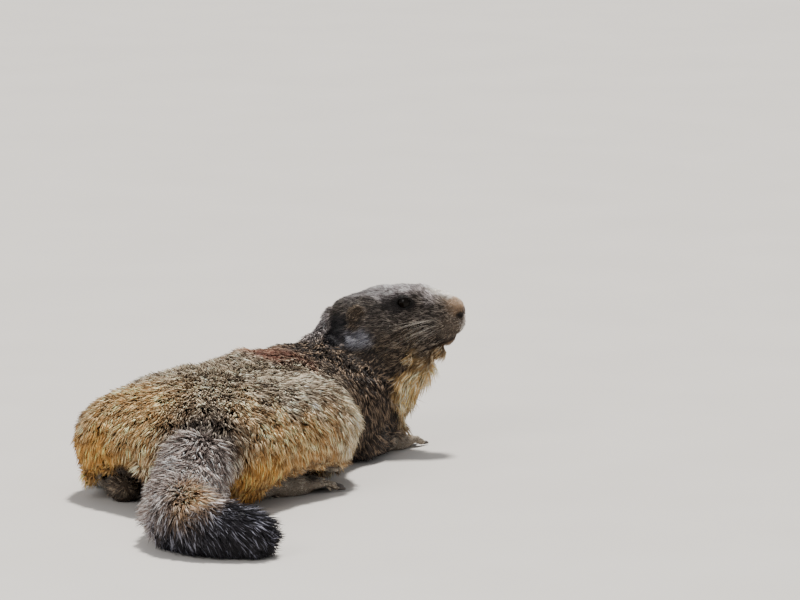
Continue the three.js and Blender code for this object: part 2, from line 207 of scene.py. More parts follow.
MUZZLE = coat(
    root=(0.030, 0.023, 0.018), tip=(0.115, 0.088, 0.068), pale=(0.52, 0.43, 0.34),
    share=0.32, length=3.4, lift=14, width=0.55, depth=0.8, close=2.1,
)
CHIN = coat(
    root=(0.10, 0.060, 0.030), tip=(0.46, 0.30, 0.15), pale=(0.96, 0.76, 0.48),
    share=0.4, length=9.5, lift=38, width=0.85, depth=0.8, close=1.8,
)
# Painted shade of the nostrils: near-black short hair on the skin around each opening.
NOSTRIL_SHADE = coat(
    root=(0.004, 0.003, 0.003), tip=(0.008, 0.006, 0.005), pale=(0.02, 0.015, 0.012),
    share=0.1, length=1.0, lift=5, width=0.4, depth=0.6, close=0.8,
)
LIPLINE = coat(
    root=(0.012, 0.008, 0.007), tip=(0.022, 0.015, 0.013), pale=(0.05, 0.035, 0.03),
    share=0.1, length=1.3, lift=6, width=0.45, depth=0.6, close=1.4,
)
EAR = coat(
    root=(0.018, 0.014, 0.012), tip=(0.060, 0.044, 0.032), pale=(0.55, 0.43, 0.31),
    share=0.28, length=3.4, lift=15, width=0.5, depth=0.3, close=2.2,
)
EYELID = coat(
    root=(0.004, 0.004, 0.004), tip=(0.010, 0.009, 0.009), pale=(0.05, 0.042, 0.038),
    share=0.1, length=1.7, lift=6, width=0.45, depth=0.1, close=2.2,
)
FOOT = coat(
    root=(0.11, 0.088, 0.068), tip=(0.30, 0.25, 0.195), pale=(0.60, 0.53, 0.43),
    share=0.4, length=4.4, lift=10, width=0.55, depth=0.7, close=1.5,
)
SOLE = coat(
    root=(0.022, 0.016, 0.011), tip=(0.10, 0.072, 0.050), pale=(0.46, 0.36, 0.26),
    share=0.3, length=5.5, lift=20, width=0.95, depth=1.0, close=1.2,
)
TAIL_ROOT = coat(
    root=(0.040, 0.033, 0.032), tip=(0.30, 0.235, 0.21), pale=(1.0, 0.87, 0.80),
    share=0.45, length=24, lift=34, width=1.4, depth=0, close=1.15,
)
TAIL_BEND = coat(
    root=(0.11, 0.088, 0.080), tip=(0.52, 0.41, 0.36), pale=(1.0, 0.90, 0.86),
    share=0.55, length=25, lift=34, width=1.4, depth=0, close=1.15,
)
TAIL_ORANGE = coat(
    root=(0.14, 0.080, 0.045), tip=(0.66, 0.40, 0.19), pale=(0.98, 0.74, 0.46),
    share=0.45, length=22, lift=32, width=1.4, depth=0, close=1.15,
)
# Black end of the tail: the dark hair is its own colour, and its bluish pale tips are painted highlights,
# the sky seen in the glossy hair.
TAIL_SLATE_GLINTS = coat(
    root=(0.008, 0.008, 0.010), tip=(0.036, 0.034, 0.042), pale=(0.40, 0.40, 0.48),
    share=0.18, length=24, lift=33, width=1.4, depth=0, close=1.15,
)
# The same at the tip: dark hair of its own colour, with bluish pale tips that are painted highlights.
TAIL_END_GLINTS = coat(
    root=(0.006, 0.006, 0.008), tip=(0.018, 0.017, 0.022), pale=(0.22, 0.22, 0.28),
    share=0.12, length=20, lift=24, width=1.35, depth=0, close=1.2,
)

# Patches of coat in the order in which they are laid over one another. Each has its kind, middle, half
# sizes in millimetres, the heading that it is turned to, and how soft its edge is.
PATCHES = [
    (TAN, (-108, 52, 62), (58, 44, 40), 0, 0.5),
    (TAN, (-98, -62, 54), (62, 48, 34), 0, 0.6),
    (ORANGE, (-100, 80, 26), (56, 34, 32), 0, 0.35),
    (SABLE, (-152, -2, 56), (26, 27, 22), 0, 0.5),
    (ORANGE, (-130, -40, 22), (46, 30, 26), 0, 0.35),
    (ORANGE, (-90, -84, 20), (60, 34, 18), 0, 0.45),
    (GREY, (-60, -62, 92), (70, 50, 32), 0, 0.4),
    (CREAM, (-18, -122, 52), (46, 15, 42), -18, 0.45),
    (MAROON, (62, -62, 96), (44, 36, 24), -40, 0.4),
    (NECK, (104, -104, 50), (66, 62, 62), -45, 0.2),
    (NECK, on_head(-44, 0, -36), (36, 50, 42), HEAD_TURN, 0.3),
    (CROWN, on_head(-58, 0, 0), (22, 24, 20), HEAD_TURN, 0.5),
    (FACE, on_head(6, 0, -2), (50, 48, 33), HEAD_TURN, 0.1),
    (CROWN, on_head(-8, 0, 25), (48, 28, 14), HEAD_TURN, 0.35),
    (NECK, on_girdle(14, 44, 16), (54, 26, 40), 0, 0.3),
    (NECK, on_girdle(14, -44, 16), (54, 26, 40), 0, 0.3),
    (MUZZLE, on_head(47, 0, -5), (14, 17, 13), HEAD_TURN, 0.4),
    (CHIN, on_head(37, 0, -30), (11, 14, 7), HEAD_TURN, 0.35),
    (SNOUT, on_head(52, 0, 9), (9, 12, 9), HEAD_TURN, 0.4),
    (BRIDGE, on_head(41, 0, 19), (10, 8, 6), HEAD_TURN, 0.4),
    (LIP, on_head(58.5, 0, -7), (3, 10, 7), HEAD_TURN, 0.4),
    (SNOUT, on_head(47, 0, -20), (6, 8, 4), HEAD_TURN, 0.5),
]
for side in (1, -1):
    PATCHES += [
        (JOWL, on_head(12, side * 22, -22), (32, 18, 14), HEAD_TURN, 0.5),
        # Throat hair, partly painted light for the sun shining through it
        (THROAT_AND_GLOW, on_head(22, side * 4, -54), (24, 18, 34), HEAD_TURN, 0.3),
        (CHEEK, on_head(-17, side * 28, -14), (11, 9, 7), HEAD_TURN, 0.5),
        # Painted shadow of the ear on the head behind it
        (EAR_SHADOW, on_head(-38, side * 26, -9), (10, 12, 18), HEAD_TURN, 0.35),
        (EAR, on_head(-21, side * 27, 2.5), (9, 6, 10.5), HEAD_TURN - side * 28, 0.2),
        (MASK, on_head(-20.5, side * 30, 1), (5.5, 3, 6.5), HEAD_TURN - side * 28, 0.5),
        (MASK, on_head(13, side * 22, 11.5), (16, 7, 7.5), HEAD_TURN, 0.4),
        (EYELID, on_head(14.5, side * 21, 12.5), (8.5, 5, 5.4), HEAD_TURN, 0.3),
        # Painted shade of each nostril
        (NOSTRIL_SHADE, on_head(55.5, side * 6.5, 2.2), (4.2, 3.4, 2.3), HEAD_TURN - side * 30, 0.25),
        (FOOT, on_girdle(62, side * 35 - 8, 6), (30, 20, 13), -30, 0.2),
    ]
PATCHES += [
    # Painted shade in the hollow between the left thigh and the root of the tail
    (GROIN_SHADE, (-156, 59, 42), (26, 13, 19), 0, 0.35),
    (EDGE, on_right_foot(36, -18, 26), (56, 24, 13), -50, 0.4),
    # Painted shade in the arches under the haunches, over each hind foot
    (HOLLOW_SHADE, on_left_foot(-4, -1, 22), (46, 17, 15), 8, 0.25),
    (HOLLOW_SHADE, on_right_foot(34, -4, 16), (46, 22, 9), -50, 0.25),
    (FOOT, on_left_foot(44, 0, 8), (56, 19, 17), 8, 0.15),
    (SOLE, on_left_foot(4, 0, 8), (24, 16, 22), 8, 0.3),
    (FOOT, on_right_foot(46, 0, 7), (56, 20, 12), -50, 0.15),
]
LARGE = 30  # half size in millimetres above which a patch has a ragged edge
RAGGED = 6  # how far in millimetres the edge wanders
TAIL_COATS = [TAIL_ROOT, TAIL_ROOT, TAIL_BEND, TAIL_SLATE_GLINTS, TAIL_END_GLINTS]
TAIL_PLACES = [0, 0.34, 0.52, 0.70, 1]  # share of the tail's length at which each is pure
TAIL_STARTS = -150  # x in millimetres behind which the hair is the tail's
TAIL_BLEND = 22
TAIL_REACH = 45
SPOT_MIDDLE = np.array((-282, 0, 45))  # the orange spot above the tail's bend
SPOT_REACH = 17
MOUTH = np.array([(62, -13), (53, -14), (47, -18), (41, -20.5), (34, -23)])  # forward and up, on the head
LIPS = 1.5  # half width of the dark line between the lips


def lip_gap(points):
    """Distance in the head's own plane from each point to the line between the lips."""
    turn = math.radians(HEAD_TURN)
    x, y, z = (points - on_head(0, 0, 0)).T
    ahead = x * math.cos(turn) + y * math.sin(turn)
    flat = np.stack((ahead, z), 1)
    gap = np.full(len(points), 1e3)
    for start, end in zip(MOUTH[:-1], MOUTH[1:]):
        line = end - start
        t = np.clip((flat - start) @ line / (line @ line), 0, 1)
        gap = np.minimum(gap, np.linalg.norm(flat - start - t[:, None] * line, axis=1))
    return gap


def ripple(points, size, seed):
    """Smooth noise from about -1 to 1 at points in millimetres, from crossed waves of about that size."""
    draw = np.random.default_rng(seed)
    total = np.zeros(len(points))
    for _ in range(7):
        way = draw.normal(size=3)
        way *= math.tau / size * draw.uniform(0.7, 1.5) / np.linalg.norm(way)
        total += np.sin(points @ way + draw.uniform(0, math.tau))
    return total / 3.5


def tail_share(points):
    """How far along the tail each point is, and its distance from the tail's line."""
    gaps = np.linalg.norm(points[:, None] - tail_path[None, :, :3], axis=2)
    nearest = gaps.argmin(1)
    return nearest / (len(tail_path) - 1), gaps[np.arange(len(points)), nearest]


def coats_at(points):
    """The coat's row at each point, in millimetres, with ragged edges between the patches."""
    ragged = points + np.stack([RAGGED * ripple(points, 26, seed) for seed in (1, 2, 3)], 1)
    rows = np.tile(GREY, (len(points), 1))
    for kind, middle, sizes, heading, soft in PATCHES:
        turn = math.radians(heading)
        x, y, z = (ragged if max(sizes) > LARGE else points).T - np.array(middle)[:, None]
        ahead = x * math.cos(turn) + y * math.sin(turn)
        aside = y * math.cos(turn) - x * math.sin(turn)
        reach = np.sqrt((ahead / sizes[0]) ** 2 + (aside / sizes[1]) ** 2 + (z / sizes[2]) ** 2)
        weight = np.clip((1 + soft - reach) / (2 * soft), 0, 1)
        weight = (weight * weight * (3 - 2 * weight))[:, None]
        rows = rows * (1 - weight) + kind * weight
    at_lips = np.exp(-((lip_gap(points) / LIPS) ** 2))[:, None]
    rows = rows * (1 - at_lips) + LIPLINE * at_lips
    share, gap = tail_share(points)
    # Low down, the tail is darker, as it is nearer to its end
    lower = np.clip((24 - points[:, 2]) / 24, -0.5, 1) * np.clip(share * 4 - 1.2, 0, 1)
    share = np.clip(share + 0.05 * ripple(points, 20, 4) + 0.34 * lower, 0, 1)
    tail = np.stack([np.interp(share, TAIL_PLACES, column) for column in np.array(TAIL_COATS).T], 1)
    spot = np.exp(-((np.linalg.norm(ragged - SPOT_MIDDLE, axis=1) / SPOT_REACH) ** 4))[:, None]
    tail = tail * (1 - spot) + TAIL_ORANGE * spot
    behind = np.clip((TAIL_STARTS - points[:, 0]) / TAIL_BLEND, 0, 1) * (gap < TAIL_REACH)
    behind = (behind * behind * (3 - 2 * behind))[:, None]
    return rows * (1 - behind) + tail * behind


# The mould of flesh, and the skin that is drawn in from its surface
VOXEL = 1.4
FLESH = [
    name for name in frame["nodes"]
    if not name.startswith(("eye", "nose", "tail")) and "claw" not in name
]
TAIL_NODES = [name for name in frame["nodes"] if name.startswith("tail")]
CORE = 0.52  # how thick the tail is under its hair, as a share of the brush
CORE_ROWS = 38
CREASE = 1.5  # millimetres that the skin is pressed in between the lips
FLAT = 0.1  # millimetres above the floor below which the skin is pressed flat


def merged_copy(node, grow=0.0):
    """A CAD node's surface as a new mesh, its doubles merged, larger all round by grow in metres."""
    form = bmesh.new()
    form.from_mesh(frame["nodes"][node].data)
    bmesh.ops.remove_doubles(form, verts=form.verts, dist=1e-5)
    form.normal_update()
    for vertex in form.verts:
        vertex.co += vertex.normal * grow
    mesh = bpy.data.meshes.new(node + "_copy")
    form.to_mesh(mesh)
    form.free()
    return mesh


def new_piece(name, mesh, slot, *nodes):
    """A piece of the model that rides on the body and stands for the CAD nodes named."""
    piece = bpy.data.objects.new(name, mesh)
    bpy.context.scene.collection.objects.link(piece)
    for face in mesh.polygons:
        face.use_smooth = True
    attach(piece, "root")
    if nodes:
        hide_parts(*nodes)
    return piece


def with_modifiers(name, mesh, *settings):
    """The mesh after each modifier in turn, given as its type and what is set on it."""
    holder = bpy.data.objects.new(name, mesh)
    bpy.context.scene.collection.objects.link(holder)
    for kind, values in settings:
        modifier = holder.modifiers.new(kind, kind)
        for key, value in values.items():
            setattr(modifier, key, value)
    depsgraph = bpy.context.evaluated_depsgraph_get()
    result = bpy.data.meshes.new_from_object(holder.evaluated_get(depsgraph))
    bpy.data.objects.remove(holder)
    result.name = name
    return result


def mould_flesh():
    """The nodes of flesh and a row of balls for the core of the tail, in one mesh."""
    mould = bmesh.new()
    for node in FLESH:
        mould.from_mesh(merged_copy(node, 0.35 * MM))
    for x, y, z, radius in tail_path[:CORE_ROWS]:
        core = radius * CORE
        place = Matrix.Translation(Vector((x, y, max(z, core + 1))) * MM)
        bmesh.ops.create_icosphere(mould, subdivisions=3, radius=core * MM, matrix=place)
    mesh = bpy.data.meshes.new("mould")
    mould.to_mesh(mesh)
    mould.free()
    return mesh


def columns(collection, key, width=3):
    """Reads a property of all of a mesh's parts into rows."""
    values = np.zeros(len(collection) * width, np.float32)
    collection.foreach_get(key, values)
    return values.reshape(-1, width).astype(float)


hide = with_modifiers(
    "skin",
    mould_flesh(),
    ("REMESH", {"mode": "VOXEL", "voxel_size": VOXEL * MM}),
    ("SMOOTH", {"factor": 0.5, "iterations": 5}),
)
places = columns(hide.vertices, "co") / MM
outward = columns(hide.vertices, "normal")
depth = coats_at(places)[:, DEPTH] * np.clip((places[:, 2] + 2) / 16, 0.15, 1)
crease = CREASE * np.exp(-((lip_gap(places) / 1.6) ** 2))
places -= outward * (depth + crease)[:, None]
hide.vertices.foreach_set("co", (places * MM).astype(np.float32).ravel())
hide.update()
hide = with_modifiers(
    "skin",
    hide,
    ("SMOOTH", {"factor": 0.5, "iterations": 3}),
    ("DECIMATE", {"ratio": 0.5}),
    ("TRIANGULATE", {}),
)
places = columns(hide.vertices, "co")
places[:, 2] = np.maximum(places[:, 2], FLAT * MM)
hide.vertices.foreach_set("co", places.astype(np.float32).ravel())


def unwrap(mesh):
    """Cuts the mesh into flat islands by the way it faces."""
    holder = bpy.data.objects.new("unwrap", mesh)
    bpy.context.scene.collection.objects.link(holder)
    mesh.uv_layers.new(name="OFBake")
    bpy.context.view_layer.objects.active = holder
    holder.select_set(True)
    bpy.ops.object.mode_set(mode="EDIT")
    bpy.ops.mesh.select_all(action="SELECT")
    bpy.ops.uv.smart_project(angle_limit=math.radians(72), island_margin=0.002)
    bpy.ops.object.mode_set(mode="OBJECT")
    bpy.data.objects.remove(holder)


unwrap(hide)
skin = new_piece("skin", hide, "grey_coat", *FLESH, *TAIL_NODES)


class Value:
    """A node's output, on which sums are written as on numbers."""

    def __init__(self, tree, socket):
        self.tree = tree
        self.socket = socket

    def _math(self, operation, *values):
        return node(self.tree, "ShaderNodeMath", {"operation": operation}, dict(enumerate(values)))

    def __add__(self, other):
        return self._math("ADD", self, other)

    def __mul__(self, other):
        return self._math("MULTIPLY", self, other)

    def __rmul__(self, other):
        return self._math("MULTIPLY", other, self)

    def __radd__(self, other):
        return self._math("ADD", other, self)

    def __sub__(self, other):
        return self._math("SUBTRACT", self, other)

    def __rsub__(self, other):
        return self._math("SUBTRACT", other, self)


def node(tree, kind, settings=None, inputs=None, output=0):
    """Adds a node: what is set on it first, then the values or links of its sockets."""
    made = tree.nodes.new(kind)
    for key, value in (settings or {}).items():
        setattr(made, key, value)
    for key, value in (inputs or {}).items():
        if isinstance(value, Value):
            tree.links.new(value.socket, made.inputs[key])
        else:
            made.inputs[key].default_value = value
    return Value(tree, made.outputs[output])


def material(name, roughness, specular):
    """A new material, its node tree and its shader's sockets."""
    made = bpy.data.materials.new(name)
    made.use_nodes = True
    shader = made.node_tree.nodes["Principled BSDF"].inputs
    shader["Roughness"].default_value = roughness
    shader["Specular IOR Level"].default_value = specular
    return made, made.node_tree, shader


def noise(tree, scale, detail=2.0, stretch=None):
    """Noise in the piece's own metres, scale waves to the metre."""
    place = node(tree, "ShaderNodeTexCoord", output="Object")
    if stretch:
        place = node(tree, "ShaderNodeMapping", {}, {"Vector": place, "Scale": stretch})
    inputs = {"Vector": place, "Scale": scale, "Detail": detail}
    return node(tree, "ShaderNodeTexNoise", {}, inputs, output="Fac")


def shaded(tree, colour, shade):
    """A colour made darker or lighter by a number that varies about 1."""
    parts = {0: colour, 1: shade}
    return node(tree, "ShaderNodeVectorMath", {"operation": "MULTIPLY"}, parts)


def link(socket, value):
    value.tree.links.new(value.socket, socket)


def painted(mesh, colours):
    """Stores a colour for each vertex of a mesh: its own colour, with any painted shade laid into it."""
    layer = mesh.color_attributes.new("markings", "FLOAT_COLOR", "POINT")
    opaque = np.hstack((colours, np.ones((len(colours), 1))))
    layer.data.foreach_set("color", opaque.astype(np.float32).ravel())


def underfur_finish():
    """Dark skin under dense short wool, seen where the coat parts, in the coat's own colours and its painted
    shade.
    """
    made, tree, shader = material("underfur", 0.85, 0.15)
    markings = node(tree, "ShaderNodeAttribute", {"attribute_name": "markings"}, output="Color")
    grain = noise(tree, 700, 3)
    link(shader["Base Color"], shaded(tree, markings, 0.55 + grain * 0.9))
    link(shader["Roughness"], 0.7 + grain * 0.25)
    height = noise(tree, 1600, 4) * 0.6 + grain * 0.4
    inputs = {"Height": height, "Strength": 0.7, "Distance": 0.0006}
    link(shader["Normal"], node(tree, "ShaderNodeBump", {}, inputs))
    return made


skin_places = columns(skin.data.vertices, "co") / MM
skin_rows = coats_at(skin_places)
bared = np.clip((7 - skin_rows[:, LENGTH, None]) / 4, 0, 1)  # short hair hides the skin less
painted(skin.data, skin_rows[:, UNDER] * (1 - bared) + (skin_rows[:, TIP] * 0.8) * bared)
skin.data.materials.append(underfur_finish())


# Guard hairs: the coarse outer coat, banded dark and pale, which grows through the wool. The hairs are
# gathered in pointed tufts with their roots in the skin, each a thin closed blade of three sides: bent
# ones on the body, and short straight ones on face and feet. They lean together in small locks.

# Hair runs back from the nose over head and spine, down the neck, flanks and legs, and out along the feet
# and the tail. Each line of places below is one way that it runs.
LIES = [
    [on_head(56, 0, 8), on_head(30, 0, 22), on_head(0, 0, 26), on_head(-30, 0, 20), on_head(-56, 0, -8),
     (84, -84, 92), (40, -36, 96), (-30, -6, 94), (-90, 0, 90), (-135, 0, 74), (-165, 0, 50)],
    [on_head(54, 0, -14), on_head(30, 0, -29), on_head(10, 0, -50), on_head(2, 0, -72), on_head(0, 0, -100)],
    [(-20, 60, 84), (-60, 92, 58), (-90, 104, 30), (-110, 104, 4)],
    [(-60, 30, 90), (-110, 56, 70), (-140, 66, 40), (-150, 66, 8)],
    [(-20, -60, 92), (-50, -96, 70), (-72, -112, 40), (-84, -112, 8)],
    [(10, -100, 60), (-20, -118, 40), (-30, -122, 8)],
    [(-60, -30, 90), (-110, -48, 72), (-142, -52, 40), (-152, -50, 6)],
    [(-120, 90, 54), (-134, 96, 34), (-140, 98, 8)],
    [(-150, 40, 56), (-156, 44, 34), (-158, 46, 8)],
    [(-70, 104, 50), (-78, 110, 30), (-82, 112, 6)],
    [(-120, -80, 60), (-136, -88, 36), (-142, -90, 12)],
    [(-152, -24, 56), (-160, -28, 34), (-162, -30, 8)],
    [(60, 20, 80), (20, 52, 60), (-10, 72, 30), (-30, 78, 4)],
    [(100, 10, 70), (80, 40, 40), (60, 52, 8)],
    [on_girdle(0, 52, 18), on_girdle(26, 44, 12), on_girdle(44, 35, 6), on_girdle(84, 20, 4)],
    [on_girdle(0, -52, 18), on_girdle(26, -44, 12), on_girdle(44, -35, 6), on_girdle(84, -60, 4)],
    [on_left_foot(0, 0, 8), on_left_foot(40, 0, 8), on_left_foot(84, 0, 4)],
    # Outside the tail's bend, where the hair hangs to the floor
    [(-280, 12, 36), (-292, 10, 24), (-292, 9, 6)],
    [(-288, -4, 34), (-302, -8, 22), (-304, -11, 6)],
    [(-296, -20, 30), (-308, -24, 18), (-308, -28, 5)],
    [(-300, -38, 24), (-310, -42, 14), (-310, -46, 4)],
    # Along the right hind foot
    [on_right_foot(0, 0, 8), on_right_foot(40, 0, 8), on_right_foot(84, 0, 4)],
]
for side in (1, -1):
    LIES += [
        [on_head(54, side * 10, 0), on_head(34, side * 16, 2), on_head(10, side * 26, 4),
         on_head(-16, side * 29, 0), on_head(-40, side * 30, -8)],
        [on_head(52, side * 10, -10), on_head(30, side * 16, -18), on_head(4, side * 26, -24),
         on_head(-24, side * 34, -46), on_girdle(4, side * 54, 50), on_girdle(2, side * 58, 14)],
        [on_head(-40, side * 28, -10), on_girdle(-30, side * 44, 76), on_girdle(-40, side * 58, 40),
         on_girdle(-44, side * 62, 8)],
    ]


def lie_guides():
    """Middles and directions of every stretch of the lines, cut to about 12 mm."""
    middles, ways = [], []
    for line in [*LIES, tail_path[6:, :3]]:
        path = smooth_path(np.array(line, float), 8 * len(line))
        steps = np.diff(path, axis=0)
        middles.append((path[1:] + path[:-1]) / 2)
        ways.append(steps / np.linalg.norm(steps, axis=1, keepdims=True))
    return np.vstack(middles), np.vstack(ways)


def unit(rows):
    """Each row made one unit long."""
    return rows / np.maximum(np.linalg.norm(rows, axis=1, keepdims=True), 1e-9)


def lie_at(points, normals):
    """The way that the hair lies at each point, along the skin."""
    middles, ways = lie_guides()
    flow = np.zeros_like(points)
    for start in range(0, len(points), 20000):
        stretch = slice(start, start + 20000)
        gaps = ((points[stretch, None] - middles[None]) ** 2).sum(2)
        flow[stretch] = (1 / (gaps + 30) ** 2) @ ways
    flow = unit(flow)
    flow -= normals * (flow * normals).sum(1, keepdims=True)
    return unit(flow)


LONG_TUFTS = 112000  # on body, neck, legs and tail
SHORT_TUFTS = 92000  # on face, ears and feet
SHORT = 8.0  # millimetres, below which hair grows in straight tufts
LOCK_SHARE = 0.09  # share of the tufts that others lean to
LOCK_REACH = 8
FLOOR = 0.25  # height in millimetres that no tuft goes below
draw = np.random.default_rng(11)


def sow(mesh, count, short):
    """Roots spread over the mesh by the coat's closeness, with the normal and unwrapped place at each."""
    corners = np.zeros(len(mesh.loops), np.int32)
    mesh.loops.foreach_get("vertex_index", corners)
    corners = corners.reshape(-1, 3)
    points = columns(mesh.vertices, "co") / MM
    normals = columns(mesh.vertices, "normal")
    flat = columns(mesh.uv_layers["OFBake"].data, "uv", 2).reshape(-1, 3, 2)
    a, b, c = (points[corners[:, i]] for i in range(3))
    area = np.linalg.norm(np.cross(b - a, c - a), axis=1) / 2
    middle = (a + b + c) / 3
    rows = coats_at(middle)
    # The flat that lies on the floor has a quarter of the tufts
    underneath = (middle[:, 2] < 9) * (unit(np.cross(b - a, c - a))[:, 2] < -0.6)
    closeness = rows[:, CLOSE] * (1 - 0.75 * underneath) * ((rows[:, LENGTH] < SHORT) == short)
    reach = np.cumsum(area * closeness)
    ticks = (np.arange(count) + draw.random(count)) / count * reach[-1]
    face = np.minimum(np.searchsorted(reach, ticks), len(corners) - 1)
    u, v = draw.random((2, count))
    fold = u + v > 1
    u[fold], v[fold] = 1 - u[fold], 1 - v[fold]
    share = np.stack((1 - u - v, u, v), 1)[:, :, None]
    root = (points[corners[face]] * share).sum(1)
    normal = unit((normals[corners[face]] * share).sum(1))
    return root, normal, (flat[face] * share).sum(1)


def nearest_of(points, targets):
    """For each point, which target is nearest."""
    tree = KDTree(len(targets))
    for i, target in enumerate(targets):
        tree.insert(target, i)
    tree.balance()
    return np.array([tree.find(point)[1] for point in points])


def grow_tufts(root, normal, rows, leader):
    """Each tuft's bend and tip, leaning towards the tip of the tuft that leads its lock."""
    count = len(root)
    # Hair is shorter low down, where the body lies on it
    pressed = np.where(root[:, :1] < TAIL_STARTS, 1, np.clip((root[:, 2:3] + 3) / 16, 0.45, 1))
    length = rows[:, LENGTH, None] * draw.uniform(0.7, 1.25, (count, 1)) * pressed
    stray = ripple(root, 17, 5)[:, None] * 0.32 + draw.normal(0, 0.26, (count, 1))
    flow = lie_at(root, normal)
    side = np.cross(flow, normal)
    flow = unit(flow + side * stray)
    lift = np.radians(rows[:, LIFT, None]) * (1 + 0.25 * ripple(root, 23, 6)[:, None])
    lift = np.maximum(lift * draw.uniform(0.7, 1.3, (count, 1)), 0.02)
    bend = root + (flow * np.cos(lift * 1.3) + normal * np.sin(lift * 1.3)) * length * 0.5
    tip = bend + (flow * np.cos(lift * 0.6) + normal * np.sin(lift * 0.6)) * length * 0.5
    away = np.linalg.norm(root[leader] - root, axis=1)[:, None]
    pull = np.clip(1 - away / LOCK_REACH, 0, 1) * 0.55
    bend = bend + (bend[leader] - root[leader] + root - bend) * pull * 0.5
    tip = tip + (tip[leader] - tip) * pull
    return bend, tip


def tuft_points(root, bend, tip, normal, width, short):
    """The points of each tuft: a triangle at its root, one at its bend if it has one, and its tip."""
    side = unit(np.cross(tip - root, normal))
    up = np.cross(side, unit(tip - root))
    rings = []
    stations = [(root - normal * 0.8, 0.9)] if short else [(root - normal * 0.9, 0.75), (bend, 1)]
    for middle, share in stations:
        half = width * share / 2
        rings += [middle - side * half, middle + side * half, middle + up * half]
    points = np.stack((*rings, tip), 1)
    lowest = [FLOOR, FLOOR, FLOOR + 0.4] * (len(rings) // 3) + [FLOOR + 0.2]
    points[:, :, 2] = np.maximum(points[:, :, 2], lowest)
    return points


LONG_FACES = [(0, 2, 1), (0, 1, 4, 3), (1, 2, 5, 4), (2, 0, 3, 5), (3, 4, 6), (4, 5, 6), (5, 3, 6)]
SHORT_FACES = [(0, 2, 1), (0, 1, 3), (1, 2, 3), (2, 0, 3)]
PATCH = 0.003  # size of a tuft's patch on the unwrap


def tuft_mesh(name, points, colours, flat, short):
    """Tufts as one mesh, each painted from root to tip, and unwrapped in a small patch at its root."""
    count, size = points.shape[:2]
    faces = SHORT_FACES if short else LONG_FACES
    corners = np.concatenate(faces)
    sizes = np.array([len(face) for face in faces])
    loops = (np.arange(count)[:, None] * size + corners).ravel()
    starts = np.concatenate(((0,), np.cumsum(np.tile(sizes, count))[:-1]))
    mesh = bpy.data.meshes.new(name)
    mesh.vertices.add(count * size)
    mesh.loops.add(len(loops))
    mesh.polygons.add(len(starts))
    mesh.vertices.foreach_set("co", (points * MM).astype(np.float32).ravel())
    mesh.loops.foreach_set("vertex_index", loops.astype(np.int32))
    mesh.polygons.foreach_set("loop_start", starts.astype(np.int32))
    mesh.update(calc_edges=True)
    painted(mesh, colours.reshape(-1, 3))
    across = (0, 1, 0.5) * (size // 3) + (0.5,)
    along = np.append(np.repeat(np.arange(size // 3) / 2, 3), 1)
    spread = np.stack((across, along), 1)[corners]
    patches = flat[:, None] + (spread[None] - 0.5) * PATCH
    baked = mesh.uv_layers.new(name="OFBake")
    baked.data.foreach_set("uv", np.clip(patches, 0, 1).astype(np.float32).ravel())
    strands = mesh.uv_layers.new(name="strands")
    strands.data.foreach_set("uv", np.tile(spread, (count, 1)).astype(np.float32).ravel())
    return mesh


def tuft_colours(rows, root, leader, short):
    """A colour for each of a tuft's points: dark at the root, and pale or plain at the tip. A lock's
    tufts share a tone."""
    count = len(rows)
    mottle = ripple(root, 8, 8)[:, None]
    pale = draw.random((count, 1)) < rows[:, SHARE, None] * (1 + 0.6 * mottle)
    tone = draw.uniform(0.65, 1.35, (count, 1))[leader] * (1 + 0.2 * mottle)
    tip = np.where(pale, rows[:, PALE], rows[:, TIP]) * draw.uniform(0.75, 1.2, (count, 1)) * tone
    under = rows[:, UNDER] * draw.uniform(0.7, 1.2, (count, 1))
    shares = (0.3, 0.3, 0.4, 1.0) if short else (0, 0, 0, 0.5, 0.5, 0.65, 1.0)
    shares = np.array(shares)[None, :, None]
    return under[:, None] * (1 - shares) + np.minimum(tip, 1)[:, None] * shares


def hair_finish():
    """Matte hair in its painted colours, with fine strands running along each tuft."""
    made, tree, shader = material("guard_hair", 0.6, 0.22)
    shader["Sheen Weight"].default_value = 0.06
    shader["Sheen Roughness"].default_value = 0.45
    markings = node(tree, "ShaderNodeAttribute", {"attribute_name": "markings"}, output="Color")
    place = node(tree, "ShaderNodeUVMap", {"uv_map": "strands"})
    stretched = node(tree, "ShaderNodeMapping", {}, {"Vector": place, "Scale": (1.0, 0.06, 1.0)})
    inputs = {"Vector": stretched, "Scale": 9.0, "Detail": 2.0}
    strands = node(tree, "ShaderNodeTexNoise", {}, inputs, output="Fac")
    link(shader["Base Color"], shaded(tree, markings, 0.6 + strands * 0.8))
    link(shader["Roughness"], 0.45 + strands * 0.3)
    inputs = {"Height": strands, "Strength": 0.4, "Distance": 0.0003}
    link(shader["Normal"], node(tree, "ShaderNodeBump", {}, inputs))
    return made


